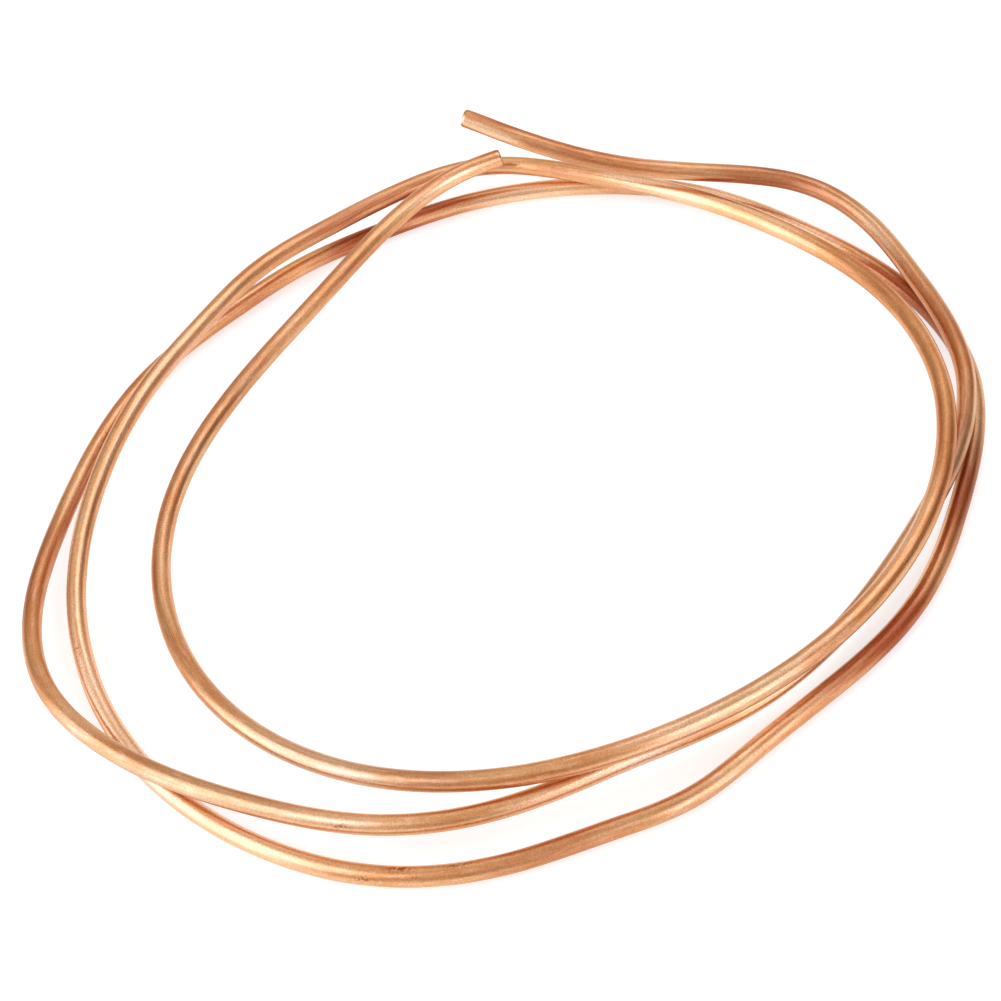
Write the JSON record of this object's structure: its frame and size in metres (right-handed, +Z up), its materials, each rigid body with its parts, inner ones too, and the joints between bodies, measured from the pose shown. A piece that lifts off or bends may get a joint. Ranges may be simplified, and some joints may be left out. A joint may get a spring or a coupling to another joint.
{
  "type": "copper tube coil",
  "caption": "Length of soft copper tube, coiled loosely by hand, with a square-cut open end at each end of the coil.",
  "frame": {"origin": "on the floor, under the middle of the coil's box", "axes": "+Z up, through the coil's eye; X and Y lie in the coil's plane; both free ends lie at the +Y side"},
  "size_m": [0.242, 0.2254, 0.0369],
  "materials": {
    "copper": "satin"
  },
  "bodies": {
    "root": {"copper_tube": "copper"}
  },
  "joints": []
}
